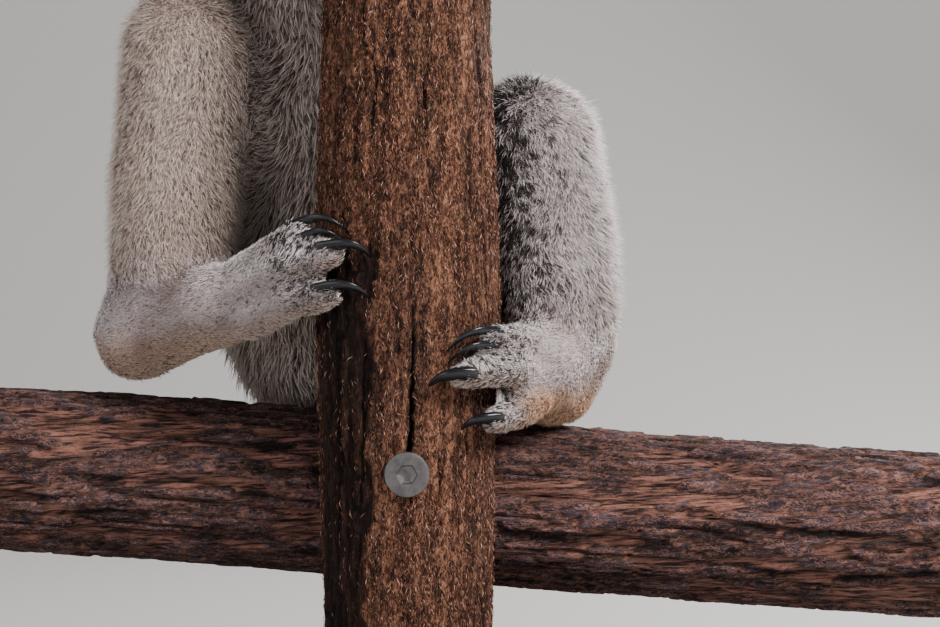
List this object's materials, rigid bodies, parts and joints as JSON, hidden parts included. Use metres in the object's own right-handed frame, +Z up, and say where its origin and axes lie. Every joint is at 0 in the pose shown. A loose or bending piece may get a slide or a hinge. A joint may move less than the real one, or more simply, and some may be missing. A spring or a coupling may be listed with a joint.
{
  "type": "koala model on a display stand",
  "caption": "Life-size still koala squatting on a round crossbeam and clinging with both hands and feet to an upright wooden post, held by a rod on a flat display base.",
  "frame": {"origin": "on the underside of the stand's base, on the axis of the rod and post", "axes": "+Z up along the post; the animal faces -Y and its left side is towards +X"},
  "size_m": [0.5354, 0.42, 0.7479],
  "materials": {
    "fur": "dense woolly fur, grey-brown with cream and dark flecks, pale on chest, chin and inner limbs",
    "eye": "glossy dark brown eye with a vertical pupil",
    "nose": "black leathery nose pad, finely pebbled",
    "claw": "blue-black horn, glossy, worn paler along the ridge",
    "post_wood": "rough reddish-brown weathered pole with bark strips, furrows and cracks",
    "beam_bark": "dark purple-brown furrowed bark with paler furrow edges",
    "steel": "dull zinc-plated steel",
    "rod_steel": "satin turned steel",
    "stand_paint": "satin black powder coat"
  },
  "bodies": {
    "root": {"trunk": "fur", "neck": "fur", "head": "fur", "ear_left": "fur", "ear_right": "fur", "upper_arm_left": "fur", "upper_arm_right": "fur", "forearm_left": "fur", "forearm_right": "fur", "hand_left": "fur", "hand_right": "fur", "thigh_left": "fur", "thigh_right": "fur", "shin_left": "fur", "shin_right": "fur", "foot_left": "fur", "foot_right": "fur", "eye_left": "eye", "eye_right": "eye", "nose": "nose", "claw_foot_right_2": "claw", "claw_foot_right_3": "claw", "claw_foot_right_4": "claw", "claw_foot_right_5": "claw", "claw_foot_left_2": "claw", "claw_foot_left_3": "claw", "claw_foot_left_4": "claw", "claw_foot_left_5": "claw", "claw_hand_right_1": "claw", "claw_hand_right_2": "claw", "claw_hand_right_3": "claw", "claw_hand_right_4": "claw", "claw_hand_right_5": "claw", "claw_hand_left_1": "claw", "claw_hand_left_2": "claw", "claw_hand_left_3": "claw", "claw_hand_left_4": "claw", "claw_hand_left_5": "claw", "post": "post_wood", "beam": "beam_bark", "bolt": "steel", "stand_base": "stand_paint", "stand_rod": "rod_steel"}
  },
  "joints": []
}
